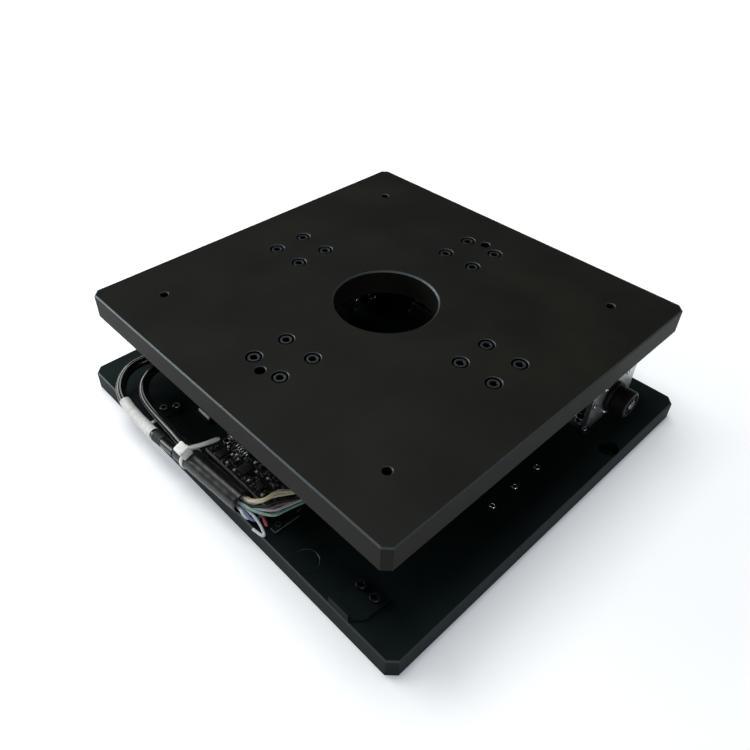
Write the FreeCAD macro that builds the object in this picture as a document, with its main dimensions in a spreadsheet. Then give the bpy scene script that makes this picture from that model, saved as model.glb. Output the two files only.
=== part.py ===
import FreeCAD
import Part
import math
import os
import Sketcher

# A flat alignment stage: a square table carried by four crossed-guide units with a bearing on top of each.
# Three units are driven by a screw, the fourth only follows, so that the table shifts in X and Y and turns.
# Millimetres; Z is up; the origin is the centre of the base's light bore, at the base's underside.

doc = FreeCAD.newDocument("alignment_stage")
sheet = doc.addObject("Spreadsheet::Sheet", "sizes")

sizes = {
    # table
    "table_side": 160, "table_thick": 10.5, "table_corner": 2.5, "edge_break": 0.5,
    "light_bore": 40, "bore_break": 0.6, "hole_break": 0.25, "tap_pitch": 120, "tap_drill": 3.3,
    "unit_radius": 50, "bolt_pitch": 14.3, "bolt_clearance": 3.4,
    "counterbore_width": 6, "counterbore_depth": 3.4, "access_offset": 10, "access_width": 4,
    # base
    "gap_height": 31.5, "base_thick": 8, "base_corner": 3,
    "left_margin": 34.5, "right_margin": 9.3, "end_margin": 17.3,
    "mount_across": 36.9, "mount_inset": 4.4, "mount_drill": 4.5, "mount_counterbore": 8, "mount_depth": 4.6,
    # lower guide of a unit
    "drive_offset": 3, "drive_height": 10, "guide_height": 6.5, "block_lift": 1.5, "guide_play": 0.25,
    "rail_width": 5, "rail_height": 4, "rail_spread": 20, "rail_length": 48,
    "rail_groove": 0.6, "groove_low": 1.8, "groove_high": 3,
    "rail_screw_inset": 4, "cross_screw_inset": 2.6, "rail_counterbore": 3.2, "rail_counterbore_depth": 1.4,
    "block_width": 11, "block_length": 30, "passive_rail_width": 12, "passive_block_width": 26,
    # saddle
    "saddle_length": 34, "saddle_thick": 9, "saddle_width": 31, "channel_width": 8.6, "channel_height": 7.3,
    # cross guide and bearing
    "cross_rail_width": 10, "cross_block_width": 22, "cross_block_length": 21,
    "housing_side": 30, "housing_corner": 4, "rotor_rise": 2, "rotor_gap": 0.3, "rotor_width": 27,
    "spindle_width": 16, "spindle_depth": 5.5, "running_fit": 0.05, "rotor_drill": 2.5, "rotor_bore": 6,
    "free_face": 0.2,
    # motor and screw
    "motor_side": 20, "motor_length": 33, "motor_rear": 71.6, "motor_corner": 2.6, "cap_corner": 1.2,
    "cap_length": 5, "outlet_length": 10, "outlet_height": 6, "outlet_depth": 3, "outlet_inset": 7,
    "bearing_thick": 8, "bearing_width": 26, "bearing_height": 19, "bearing_foot": 3.5,
    "bearing_waist": 18, "bearing_corner": 2,
    "bracket_width": 31, "bracket_height": 20.5, "bracket_thick": 2, "bracket_foot": 8,
    "bracket_drill": 2.8, "bracket_notch": 1.6, "bracket_notch_height": 3.2, "boss_hole": 6,
    "shaft_width": 4, "shaft_play": 0.25, "shaft_corner": 0.3, "tip_corner": 0.8,
    "screw_reach": 16, "shaft_proud": 0.3, "press_gap": 0.02,
    "nut_width": 7, "nut_corner": 1, "nut_length": 12, "nut_flange": 3,
    "nut_flange_width": 17, "nut_flange_height": 8, "nut_flange_lift": 0.8,
    "knob_width": 11, "knob_length": 6.6, "knob_flange": 12.8, "knob_flange_length": 1.4, "knob_gap": 0.4,
    "knob_recess": 8.2, "knob_recess_depth": 0.6, "knob_corner": 0.5,
    # electronics along the left edge; across sizes are from the base's left edge
    "tray_inset": 4.1, "tray_width": 14.1, "tray_thick": 1, "tray_front": 30, "tray_back": 16,
    "board_inset": 7.4, "board_front": 25, "board_back": 15, "board_thick": 1.6,
    "post_inset": 14.9, "post_end": 3, "post_width": 4, "post_height": 1.6,
    "header_inset": 22.5, "header_gap": 1, "header_length": 13, "header_width": 6, "header_height": 6.5,
    "header_wall": 0.9, "header_depth": 2,
    "clip_inset": 0.5, "clip_width": 14, "clip_front": 73, "clip_back": 60.8, "clip_thick": 1,
    "clip_lip_front": 69.5, "clip_lip_height": 3.5, "clip_drill": 2.2, "clip_slant": 4, "clip_hole_inset": 3,
    # cables
    "sheath_width": 8.2, "sheath_lift": 0.25, "sheath_overhang": 0.1, "sheath_inset": 2.9,
    "sheath_back": 19.5, "sheath_front": 13, "tie_along": 13.8, "tie_band": 2.6, "tie_thick": 0.85,
    "tie_head": 4.2, "tie_head_depth": 3.4, "outer_cable": 4.2, "inner_cable": 3.8, "wire_width": 3.2,
    "cord_rest": 0.6, "cable_step": 10, "outer_offset": 2.3, "inner_offset": 2.8, "inner_drop": 1,
}

for row, (alias, value) in enumerate(sizes.items(), start=1):
    sheet.set(f"A{row}", alias)
    sheet.set(f"B{row}", str(value))
    sheet.setAlias(f"B{row}", alias)
doc.recompute()


def bound(expression):
    """The expression with each size's alias written as the sheet's own cell."""
    words = []
    word = ""
    for letter in expression + " ":
        if letter.isalnum() or letter in "_.":
            word += letter
            continue
        words.append(f"sizes.{word}" if word in sizes else word)
        words.append(letter)
        word = ""
    return "".join(words).strip()


def value(expression):
    """The number that an expression of sizes gives."""
    return float(sheet.evalExpression(bound(expression)))


def newBody(name):
    body = doc.addObject("PartDesign::Body", name)
    body.Label = name
    return body


def place(piece, across="0", along="0", height="0", turn=0):
    """Turns a piece about Z, then ties its place to the sheet."""
    rotation = FreeCAD.Rotation(FreeCAD.Vector(0, 0, 1), turn)
    piece.Placement = FreeCAD.Placement(FreeCAD.Vector(0, 0, 0), rotation)
    for axis, expression in zip("xyz", (across, along, height)):
        piece.setExpression(f"Placement.Base.{axis}", bound(expression))


def newSketch(body, role, level="0", outlines=(), circles=()):
    """A sketch on one of the body's own planes; every corner and centre is tied to the sheet."""
    sketch = body.newObject("Sketcher::SketchObject", f"{body.Name}_sketch")
    plane = next(feature for feature in body.Origin.OriginFeatures if feature.Role == role)
    sketch.AttachmentSupport = [(plane, "")]
    sketch.MapMode = "FlatFace"
    sketch.setExpression("AttachmentOffset.Base.z", bound(level))

    def tie(kind, geometry, point, expression):
        sketch.addConstraint(Sketcher.Constraint(kind, -1, 1, geometry, point, value(expression)))
        sketch.setExpression(f"Constraints[{sketch.ConstraintCount - 1}]", bound(expression))

    for outline in outlines:
        first = sketch.GeometryCount
        corners = [FreeCAD.Vector(value(x), value(y), 0) for x, y in outline]
        for index, corner in enumerate(corners):
            following = corners[(index + 1) % len(corners)]
            sketch.addGeometry(Part.LineSegment(corner, following))
        for index in range(len(corners)):
            joined = first + (index + 1) % len(corners)
            sketch.addConstraint(Sketcher.Constraint("Coincident", first + index, 2, joined, 1))
        for index, (x, y) in enumerate(outline):
            tie("DistanceX", first + index, 1, x)
            tie("DistanceY", first + index, 1, y)
    for x, y, width in circles:
        centre = FreeCAD.Vector(value(x), value(y), 0)
        index = sketch.addGeometry(Part.Circle(centre, FreeCAD.Vector(0, 0, 1), value(width) / 2))
        tie("DistanceX", index, 3, x)
        tie("DistanceY", index, 3, y)
        sketch.addConstraint(Sketcher.Constraint("Diameter", index, value(width)))
        sketch.setExpression(f"Constraints[{sketch.ConstraintCount - 1}]", bound(width))
    return sketch


def rectangle(x0, y0, x1, y1):
    return [(x0, y0), (x1, y0), (x1, y1), (x0, y1)]


def chamferedBox(x0, y0, x1, y1, leg):
    """A rectangle with its four corners cut at 45 degrees."""
    return [(f"{x0} + {leg}", y0), (f"{x1} - {leg}", y0), (x1, f"{y0} + {leg}"), (x1, f"{y1} - {leg}"),
            (f"{x1} - {leg}", y1), (f"{x0} + {leg}", y1), (x0, f"{y1} - {leg}"), (x0, f"{y0} + {leg}")]


def pad(body, sketch, length, backwards=False):
    feature = body.newObject("PartDesign::Pad", f"{body.Name}_pad")
    feature.Profile = sketch
    feature.Reversed = backwards
    feature.setExpression("Length", bound(length))
    return feature


def pocket(body, sketch, length, forwards=False):
    """A cut below the sketch, or above it when forwards; a cut that takes nothing away is an error."""
    doc.recompute()
    before = body.Shape.Volume
    feature = body.newObject("PartDesign::Pocket", f"{body.Name}_pocket")
    feature.Profile = sketch
    feature.Reversed = forwards
    feature.setExpression("Length", bound(length))
    doc.recompute()
    if body.Shape.Volume > before - 0.01:
        raise ValueError(f"a pocket in {body.Name} cuts nothing")
    return feature


def revolve(body, outline):
    """A solid of revolution about the body's X axis; the outline is given along X and out from it."""
    sketch = newSketch(body, "XY_Plane", "0", [outline])
    feature = body.newObject("PartDesign::Revolution", f"{body.Name}_turned")
    feature.Profile = sketch
    feature.ReferenceAxis = (sketch, ["H_Axis"])
    feature.Angle = 360
    return feature


def breakEdges(body, width, height):
    """A small chamfer round every straight edge that lies in the plane at this height."""
    doc.recompute()
    level = value(height)
    names = []
    for index, edge in enumerate(body.Shape.Edges, start=1):
        box = edge.BoundBox
        inPlane = abs(box.ZMin - level) < 1e-6 and abs(box.ZMax - level) < 1e-6
        if inPlane and isinstance(edge.Curve, Part.Line):
            names.append(f"Edge{index}")
    carrier = body.Tip
    feature = body.newObject("PartDesign::Chamfer", f"{body.Name}_edge")
    feature.Base = (carrier, names)
    feature.setExpression("Size", bound(width))
    return feature


def breakRims(body, width, height, diameters):
    """A small chamfer round every hole of these diameters in the plane at this height."""
    doc.recompute()
    level = value(height)
    wanted = [value(diameter) / 2 for diameter in diameters]
    names = []
    for index, edge in enumerate(body.Shape.Edges, start=1):
        if not isinstance(edge.Curve, Part.Circle) or abs(edge.Curve.Center.z - level) > 1e-6:
            continue
        if any(abs(edge.Curve.Radius - radius) < 1e-6 for radius in wanted):
            names.append(f"Edge{index}")
    carrier = body.Tip
    feature = body.newObject("PartDesign::Chamfer", f"{body.Name}_rim")
    feature.Base = (carrier, names)
    feature.setExpression("Size", bound(width))
    return feature


def mirroredCircles(points, width):
    """Circles at a point and at its half-turn copy about the origin."""
    return [(x, y, width) for x, y in points] + [(f"-({x})", f"-({y})", width) for x, y in points]


# heights above the base's underside, and above the base's top for the units
underside = "base_thick + gap_height"
tableTop = "base_thick + gap_height + table_thick"
saddleTop = "guide_height + saddle_thick"
housingTop = "gap_height - rotor_rise"
rotorBottom = "gap_height - rotor_rise + rotor_gap"

# edges of the base
baseLeft = "(unit_radius + left_margin)"
baseRight = "(motor_rear + right_margin)"
baseEnd = "(motor_rear + end_margin)"


def makeTable():
    body = newBody("table_plate")
    place(body, height=underside)
    half = "table_side / 2"
    outline = chamferedBox(f"-{half}", f"-{half}", half, half, "table_corner")
    pad(body, newSketch(body, "XY_Plane", "0", [outline]), "table_thick")
    breakEdges(body, "edge_break", tableTop)
    breakEdges(body, "edge_break", underside)
    bore = newSketch(body, "XY_Plane", "table_thick", circles=[("0", "0", "light_bore")])
    pocket(body, bore, "table_thick")
    corners = [("tap_pitch / 2", "tap_pitch / 2"), ("tap_pitch / 2", "-tap_pitch / 2")]
    taps = mirroredCircles(corners, "tap_drill")
    pocket(body, newSketch(body, "XY_Plane", "table_thick", circles=taps), "table_thick")
    groups = [("unit_radius", "0"), ("0", "unit_radius"), ("-unit_radius", "0"), ("0", "-unit_radius")]
    bolts = [(f"{x} {a} bolt_pitch / 2", f"{y} {b} bolt_pitch / 2")
             for x, y in groups for a in "+-" for b in "+-"]
    wide = [(x, y, "counterbore_width") for x, y in bolts]
    narrow = [(x, y, "bolt_clearance") for x, y in bolts]
    pocket(body, newSketch(body, "XY_Plane", "table_thick", circles=wide), "counterbore_depth")
    pocket(body, newSketch(body, "XY_Plane", "table_thick", circles=narrow), "table_thick")
    reach = mirroredCircles([("unit_radius + access_offset", "0")], "access_width")
    pocket(body, newSketch(body, "XY_Plane", "table_thick", circles=reach), "table_thick")
    breakRims(body, "bore_break", tableTop, ["light_bore"])
    breakRims(body, "hole_break", tableTop, ["counterbore_width", "tap_drill", "access_width"])


def makeBase():
    body = newBody("base_plate")
    outline = chamferedBox(f"-{baseLeft}", f"-{baseEnd}", baseRight, baseEnd, "base_corner")
    pad(body, newSketch(body, "XY_Plane", "0", [outline]), "base_thick")
    breakEdges(body, "edge_break", "base_thick")
    pocket(body, newSketch(body, "XY_Plane", "base_thick", circles=[("0", "0", "light_bore")]), "base_thick")
    spots = [("mount_across", f"-({baseEnd} - mount_inset)")]
    wide = mirroredCircles(spots, "mount_counterbore")
    narrow = mirroredCircles(spots, "mount_drill")
    pocket(body, newSketch(body, "XY_Plane", "base_thick", circles=wide), "mount_depth")
    pocket(body, newSketch(body, "XY_Plane", "base_thick", circles=narrow), "base_thick")
    breakRims(body, "bore_break", "base_thick", ["light_bore"])


def railOutline(middle, width):
    """A guide rail's section: a bar with a groove for the balls down each side."""
    outline = []
    for sign in "+-":
        face = f"{middle} {sign} {width} / 2"
        floor = f"{face} {'-' if sign == '+' else '+'} rail_groove"
        side = [(face, "0"), (face, "groove_low"), (floor, "groove_low + rail_groove / 2"),
                (floor, "groove_high - rail_groove / 2"), (face, "groove_high"), (face, "rail_height")]
        outline += side if sign == "+" else side[::-1]
    return outline


def blockOutline(middle, width, bar):
    """A guide block's section: a saddle over its rail."""
    inner = f"{bar} / 2 + guide_play"
    roof = "rail_height + guide_play"
    outer = f"{width} / 2"
    left = [(outer, "guide_height"), (outer, "block_lift"), (inner, "block_lift"), (inner, roof)]
    outline = [(f"{middle} - ({y})", z) for y, z in left]
    return outline + [(f"{middle} + ({y})", z) for y, z in reversed(left)]


class Unit:
    """One crossed-guide unit: its own X runs along the lower guide, with the motor at the negative end."""

    def __init__(self, name, across, along, turn, hand, driven=True):
        self.name = name
        self.spot = dict(across=across, along=along, height="base_thick", turn=turn)
        self.drive = f"({hand}) * drive_offset" if driven else "0"
        self.hand = hand
        self.driven = driven
        reach = "saddle_width / 2"
        self.low = f"-{reach} - drive_offset" if driven and hand < 0 else f"-{reach}"
        self.high = f"{reach} + drive_offset" if driven and hand > 0 else reach

    def body(self, piece):
        body = newBody(f"{self.name}_{piece}")
        place(body, **self.spot)
        return body

    def extrude(self, piece, start, length, outline):
        body = self.body(piece)
        pad(body, newSketch(body, "YZ_Plane", start, [outline]), length)
        return body

    def lowerGuide(self):
        lines = [("", "0", "passive_rail_width", "passive_block_width")]
        if self.driven:
            lines = [(f"_{side}", f"{self.drive} {sign} rail_spread / 2", "rail_width", "block_width")
                     for side, sign in (("left", "-"), ("right", "+"))]
        for side, middle, bar, block in lines:
            rail = self.extrude(f"rail{side}", "-rail_length / 2", "rail_length", railOutline(middle, bar))
            end = "rail_length / 2 - rail_screw_inset"
            screws = [(f"{sign}({end})", middle, "rail_counterbore") for sign in ("", "-")]
            pocket(rail, newSketch(rail, "XY_Plane", "rail_height", circles=screws), "rail_counterbore_depth")
            outline = blockOutline(middle, block, bar)
            self.extrude(f"block{side}", "-block_length / 2", "block_length", outline)

    def saddle(self):
        outline = [(self.low, "guide_height")]
        if self.driven:
            for sign, levels in (("-", ("guide_height", "guide_height + channel_height")),
                                 ("+", ("guide_height + channel_height", "guide_height"))):
                outline += [(f"{self.drive} {sign} channel_width / 2", level) for level in levels]
        outline += [(self.high, "guide_height"), (self.high, saddleTop), (self.low, saddleTop)]
        body = self.extrude("saddle", "-saddle_length / 2", "saddle_length", outline)
        breakEdges(body, "edge_break", f"base_thick + {saddleTop}")

    def crossGuide(self):
        rail = self.body("cross_rail")
        outline = [(x, f"{saddleTop} + {z}") for x, z in railOutline("0", "cross_rail_width")]
        sketch = newSketch(rail, "XZ_Plane", f"-({self.high})", [outline])
        pad(rail, sketch, f"{self.high} - ({self.low})")
        screws = [("0", f"{self.low} + cross_screw_inset", "rail_counterbore"),
                  ("0", f"{self.high} - cross_screw_inset", "rail_counterbore")]
        top = newSketch(rail, "XY_Plane", f"{saddleTop} + rail_height", circles=screws)
        pocket(rail, top, "rail_counterbore_depth")

        block = self.body("cross_block")
        section = blockOutline("0", "cross_block_width", "cross_rail_width")
        outline = [(x, f"{saddleTop} + {z}") for x, z in section]
        pad(block, newSketch(block, "XZ_Plane", "-cross_block_length / 2", [outline]), "cross_block_length")
        half = "housing_side / 2"
        top = chamferedBox(f"-{half}", f"-{half}", half, half, "housing_corner")
        level = f"{saddleTop} + guide_height"
        pad(block, newSketch(block, "XY_Plane", level, [top]), f"{housingTop} - ({level})")
        seat = [("0", "0", "spindle_width + 2 * running_fit")]
        pocket(block, newSketch(block, "XY_Plane", housingTop, circles=seat), "spindle_depth + rotor_gap")

    def rotor(self, drop="0"):
        body = newBody(f"{self.name}_rotor")
        place(body, **self.spot)
        top = f"gap_height - ({drop})"
        flange = newSketch(body, "XY_Plane", rotorBottom, circles=[("0", "0", "rotor_width")])
        pad(body, flange, f"{top} - ({rotorBottom})")
        spindle = newSketch(body, "XY_Plane", rotorBottom, circles=[("0", "0", "spindle_width")])
        pad(body, spindle, "spindle_depth", True)
        bore = newSketch(body, "XY_Plane", top, circles=[("0", "0", "rotor_bore")])
        pocket(body, bore, "rotor_rise + spindle_depth")
        corners = [("bolt_pitch / 2", "bolt_pitch / 2"), ("bolt_pitch / 2", "-bolt_pitch / 2")]
        taps = mirroredCircles(corners, "rotor_drill")
        pocket(body, newSketch(body, "XY_Plane", top, circles=taps), "rotor_rise")

    def motor(self):
        half = "motor_side / 2"
        low, high = f"{self.drive} - {half}", f"{self.drive} + {half}"
        body = self.extrude("motor", "-motor_rear", "motor_length",
                            chamferedBox(low, "0", high, "motor_side", "motor_corner"))
        cap = chamferedBox(low, "0", high, "motor_side", "cap_corner")
        for start in ("-motor_rear", "-motor_rear + motor_length - cap_length"):
            pad(body, newSketch(body, "YZ_Plane", start, [cap]), "cap_length")
        start = "-motor_rear + outlet_inset - outlet_length / 2"
        sill, lintel = (f"motor_side / 2 {sign} outlet_height / 2" for sign in "-+")
        if self.hand > 0:
            outlet = rectangle(f"{low} - outlet_depth", sill, low, lintel)
        else:
            outlet = rectangle(high, sill, f"{high} + outlet_depth", lintel)
        pad(body, newSketch(body, "YZ_Plane", start, [outlet]), "outlet_length")
        hole = [(self.drive, "drive_height", "shaft_width + 2 * shaft_play")]
        pocket(body, newSketch(body, "YZ_Plane", "-motor_rear + motor_length", circles=hole), "motor_length")

    def bearing(self):
        """The black block that the screw's bearing sits in, on two feet, against the motor's front."""
        right = [("bearing_width / 2", "0"), ("bearing_width / 2", "bearing_foot"),
                 ("bearing_waist / 2", "bearing_foot"),
                 ("bearing_waist / 2", "bearing_height - bearing_corner"),
                 ("bearing_waist / 2 - bearing_corner", "bearing_height")]
        outline = [(f"{self.drive} + {y}", z) for y, z in right]
        outline += [(f"{self.drive} - ({y})", z) for y, z in reversed(right)]
        body = self.extrude("bearing", "-motor_rear + motor_length", "bearing_thick", outline)
        hole = [(self.drive, "drive_height", "shaft_width + 2 * shaft_play")]
        front = "-motor_rear + motor_length + bearing_thick"
        pocket(body, newSketch(body, "YZ_Plane", front, circles=hole), "bearing_thick")

    def bracket(self):
        """The bright end plate behind the motor, with its two feet and a slot at its lower corner."""
        half = "bracket_width / 2"
        plate = rectangle(f"{self.drive} - {half}", "0", f"{self.drive} + {half}", "bracket_height")
        body = self.extrude("bracket", "-motor_rear - bracket_thick", "bracket_thick", plate)
        back = "-motor_rear - bracket_thick"
        front = f"{back} + bracket_foot"
        gap = "motor_side / 2 + guide_play"
        feet = [rectangle(back, f"{self.drive} + {gap}", front, f"{self.drive} + {half}"),
                rectangle(back, f"{self.drive} - {half}", front, f"{self.drive} - ({gap})")]
        side = f"{self.drive} + ({-self.hand}) *"
        notch = rectangle(f"{side} ({half} - 2 * bracket_notch)", "0", f"{side} ({half} - bracket_notch)",
                          "bracket_notch_height")
        hole = f"{side} ({half} + {gap}) / 2"
        pad(body, newSketch(body, "XY_Plane", "0", feet), "bracket_thick")
        pocket(body, newSketch(body, "YZ_Plane", "-motor_rear", [notch]), "bracket_thick")
        boss = [(self.drive, "drive_height", "boss_hole")]
        pocket(body, newSketch(body, "YZ_Plane", "-motor_rear", circles=boss), "bracket_thick")
        drill = [(f"{back} + bracket_foot / 2", hole, "bracket_drill")]
        pocket(body, newSketch(body, "XY_Plane", "bracket_thick", circles=drill), "bracket_thick")

    def nut(self):
        """The flanged nut, bolted to the saddle's end."""
        seat = "-saddle_length / 2"
        half = "nut_flange_width / 2"
        low = "drive_height - nut_flange_height / 2 + nut_flange_lift"
        high = f"{low} + nut_flange_height"
        flange = chamferedBox(f"{self.drive} - {half}", low, f"{self.drive} + {half}", high, "nut_corner")
        body = self.extrude("nut", f"{seat} - nut_flange", "nut_flange", flange)
        barrel = [(self.drive, "drive_height", "nut_width")]
        pad(body, newSketch(body, "YZ_Plane", seat, circles=barrel), "nut_length")
        hole = [(self.drive, "drive_height", "shaft_width + 2 * shaft_play")]
        bore = newSketch(body, "YZ_Plane", f"{seat} + nut_length", circles=hole)
        pocket(body, bore, "nut_length + nut_flange")

    def turned(self, piece, outline):
        """A turned piece on the drive axis."""
        body = newBody(f"{self.name}_{piece}")
        revolve(body, outline)
        spot = dict(self.spot)
        spot["height"] = "base_thick + drive_height"
        turn = round(math.radians(self.spot["turn"]), 9)
        sine, cosine = round(math.sin(turn)), round(math.cos(turn))
        spot["across"] = f"{self.spot['across']} - ({sine}) * {self.drive}"
        spot["along"] = f"{self.spot['along']} + ({cosine}) * {self.drive}"
        place(body, **spot)

    def shaft(self):
        half = "shaft_width / 2"
        back = "-motor_rear - bracket_thick - knob_gap - knob_flange_length - knob_length - shaft_proud"
        rear = [(back, "0"), (back, f"{half} - shaft_corner"), (f"{back} + shaft_corner", half)]
        tip = [("screw_reach - tip_corner", half), ("screw_reach", f"{half} - tip_corner")]
        self.turned("screw", rear + tip + [("screw_reach", "0")])

    def knob(self):
        bore = "shaft_width / 2 + press_gap"
        front = "-motor_rear - bracket_thick - knob_gap"
        grip = f"{front} - knob_flange_length"
        back = f"{grip} - knob_length"
        flange = [(front, bore), (front, "knob_flange / 2"), (grip, "knob_flange / 2")]
        flange.append((grip, "knob_width / 2"))
        rim = [(f"{back} + knob_corner", "knob_width / 2"), (back, "knob_width / 2 - knob_corner")]
        floor = f"{back} + knob_recess_depth"
        recess = [(back, "knob_recess / 2"), (floor, "knob_recess / 2"), (floor, bore)]
        self.turned("knob", flange + rim + recess)

    def build(self, drop="0"):
        self.lowerGuide()
        self.saddle()
        self.crossGuide()
        self.rotor(drop)
        if self.driven:
            self.motor()
            self.bearing()
            self.bracket()
            self.nut()
            self.shaft()
            self.knob()


def makeTray():
    """The thin tray under the circuit board, with the posts that carry the board."""
    body = newBody("board_tray")
    place(body, f"-{baseLeft} + tray_inset", height="base_thick")
    outline = rectangle("0", "-tray_front", "tray_width", "tray_back")
    pad(body, newSketch(body, "XY_Plane", "0", [outline]), "tray_thick")
    column = "post_inset - tray_inset"
    posts = [(column, along, "post_width") for along in ("-board_front + post_end", "board_back - post_end")]
    pad(body, newSketch(body, "XY_Plane", "tray_thick", circles=posts), "post_height")


def makeBoard():
    body = newBody("circuit_board")
    place(body, f"-{baseLeft} + board_inset", height="base_thick + tray_thick + post_height")
    outline = rectangle("0", "-board_front", "tray_inset + tray_width - board_inset", "board_back")
    pad(body, newSketch(body, "XY_Plane", "0", [outline]), "board_thick")


headerAlong = "-(rail_length / 2 + header_gap + header_width / 2)"


def makeHeader():
    """The socket that the coloured wires plug into, on the base just past a lower rail's end."""
    body = newBody("wire_header")
    place(body, f"-{baseLeft} + header_inset", headerAlong, "base_thick")
    half = "header_width / 2"
    outline = rectangle("0", f"-{half}", "header_length", half)
    pad(body, newSketch(body, "XY_Plane", "0", [outline]), "header_height")
    top = "header_height - header_wall"
    mouth = rectangle(f"-{half} + header_wall", "header_wall", f"{half} - header_wall", top)
    pocket(body, newSketch(body, "YZ_Plane", "0", [mouth]), "header_depth", True)


def makeClip():
    """The small bent bracket on the base's left edge near the front corner."""
    body = newBody("edge_clip")
    place(body, f"-{baseLeft} + clip_inset", height="base_thick")
    plate = [("0", "-clip_lip_front"), ("clip_slant", "-clip_front"), ("clip_width", "-clip_front"),
             ("clip_width", "-clip_back"), ("0", "-clip_back")]
    column = "clip_width - clip_hole_inset"
    holes = [(column, "-clip_back - clip_hole_inset", "clip_drill"),
             (column, "-clip_front + clip_hole_inset", "clip_drill")]
    pad(body, newSketch(body, "XY_Plane", "0", [plate]), "clip_thick")
    lip = rectangle("0", "-clip_lip_front", "clip_thick", "-clip_back")
    pad(body, newSketch(body, "XY_Plane", "0", [lip]), "clip_lip_height")
    pocket(body, newSketch(body, "XY_Plane", "clip_thick", circles=holes), "clip_thick")


arcShare = 0.45  # part of a run that an arc may take at each of its ends


def tube(name, points, width):
    """A round tube along straight runs joined by arcs; each radius follows from its shorter run."""
    vectors = [FreeCAD.Vector(*point) for point in points]
    edges = []
    last = vectors[0]
    radii = []
    for before, corner, after in zip(vectors, vectors[1:], vectors[2:]):
        inward = (before - corner).normalize()
        outward = (after - corner).normalize()
        turn = math.pi - inward.getAngle(outward)
        setback = arcShare * min((before - corner).Length, (after - corner).Length)
        radius = setback / math.tan(turn / 2)
        radii.append(round(radius, 1))
        start, end = corner + inward * setback, corner + outward * setback
        bisector = (inward + outward).normalize()
        middle = corner + bisector * (radius / math.cos(turn / 2) - radius)
        edges.append(Part.LineSegment(last, start).toShape())
        edges.append(Part.Arc(start, middle, end).toShape())
        last = end
    edges.append(Part.LineSegment(last, vectors[-1]).toShape())
    path = Part.Wire(edges)
    ring = Part.Wire(Part.Circle(vectors[0], vectors[1] - vectors[0], width / 2).toShape())
    shape = path.makePipeShell([ring], True, False)
    print(name, "length", round(path.Length, 1), "radii", radii)
    addShape(name, shape)


def addShape(name, shape):
    feature = doc.addObject("Part::Feature", name)
    feature.Label = name
    feature.Shape = shape


# routes of the cords, each point in cable steps from the outlet, the sheath's end or the header's mouth
outerAtMotor = [(-0.65, 0.25, 0), (-1.45, 0.46, -0.07), (-2.13, 0.27, -0.24), (-2.59, -0.31, -0.44),
                (-2.7, -1.11, -0.58)]
outerAtSheath = [(-0.24, 2.55, -0.17), (-0.24, 1.65, -0.16), (-0.22, 0.8, -0.07)]
innerAtMotor = [(-0.63, -0.27, -0.11), (-1.23, -0.33, -0.17), (-1.72, -0.64, -0.28), (-2.01, -1.15, -0.41),
                (-2.09, -1.81, -0.52)]
innerAtSheath = [(0.35, 2.0, -0.09), (0.31, 1.25, -0.08), (0.25, 0.6, -0.03)]
wiresAtSheath = [(0.1, -0.45, 0.1), (0.51, -0.8, 0.26)]
wiresAtHeader = [(-1.1, 0.4, 0.415), (-0.6, 0.08, 0.175)]


def offsets(anchor, steps):
    step = value("cable_step")
    return [anchor + FreeCAD.Vector(*point) * step for point in steps]


def makeCables():
    """The two motor cables, the shrink sleeve that gathers them, its tie and the wires that leave it."""
    left = value(baseLeft)
    middle = value("base_thick + tie_thick + sheath_lift + sheath_width / 2")
    back = FreeCAD.Vector(-left - value("sheath_overhang"), value("sheath_back"), middle)
    front = FreeCAD.Vector(-left + value("sheath_inset"), -value("sheath_front"), middle)
    tube("cable_sheath", [back, front], value("sheath_width"))

    outlet = FreeCAD.Vector(value("-unit_radius + drive_offset - motor_side / 2 - outlet_depth"),
                            value("motor_rear - outlet_inset"), value("base_thick + motor_side / 2"))
    rest = value("cord_rest")
    thick, thin = value("outer_cable"), value("inner_cable")
    away, behind = FreeCAD.Vector(-rest, 0, 0), FreeCAD.Vector(0, rest, 0)
    outerStart = outlet + away + FreeCAD.Vector(0, value("outer_offset"), 0)
    outerEnd = back + behind + FreeCAD.Vector(thick / 2 - value("sheath_width") / 2, 0, 0)
    outerRoute = [outerStart] + offsets(outlet, outerAtMotor) + offsets(back, outerAtSheath) + [outerEnd]
    tube("cable_outer", outerRoute, thick)
    innerStart = outlet + away - FreeCAD.Vector(0, value("inner_offset"), value("inner_drop"))
    innerEnd = back + behind + FreeCAD.Vector(value("sheath_width") / 2 - thin / 2, 0, 0)
    innerRoute = [innerStart] + offsets(outlet, innerAtMotor) + offsets(back, innerAtSheath) + [innerEnd]
    tube("cable_inner", innerRoute, thin)

    mouth = FreeCAD.Vector(-left + value("header_inset + header_depth"), value(headerAlong),
                           value("base_thick + header_height / 2"))
    wires = [front - behind] + offsets(front, wiresAtSheath) + offsets(mouth, wiresAtHeader) + [mouth + away]
    tube("wire_bundle", wires, value("wire_width"))
    makeTie(back, front)


tieTilt = -25  # degrees that the tie's head leans outwards from the top


def makeTie(back, front):
    """A band round the sheath with the head that locks it."""
    along = (back - front).normalize()
    centre = front + along * (value("sheath_front + tie_along") / along.y)
    band = value("tie_band")
    inner, outer = value("sheath_width / 2 + press_gap"), value("sheath_width / 2 + tie_thick")
    ring = Part.makeCylinder(outer, band, centre - along * (band / 2), along)
    head, depth = value("tie_head"), value("tie_head_depth")
    block = Part.makeBox(depth, head, head, FreeCAD.Vector(-depth / 2, -head / 2, inner))
    block.rotate(FreeCAD.Vector(0, 0, 0), FreeCAD.Vector(0, 1, 0), tieTilt)
    slant = math.degrees(math.atan2(-along.x, along.y))
    block.rotate(FreeCAD.Vector(0, 0, 0), FreeCAD.Vector(0, 0, 1), slant)
    block.translate(centre)
    bore = Part.makeCylinder(inner, 3 * head, centre - along * (1.5 * head), along)
    addShape("cable_tie", ring.fuse(block).cut(bore).removeSplitter())


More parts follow.
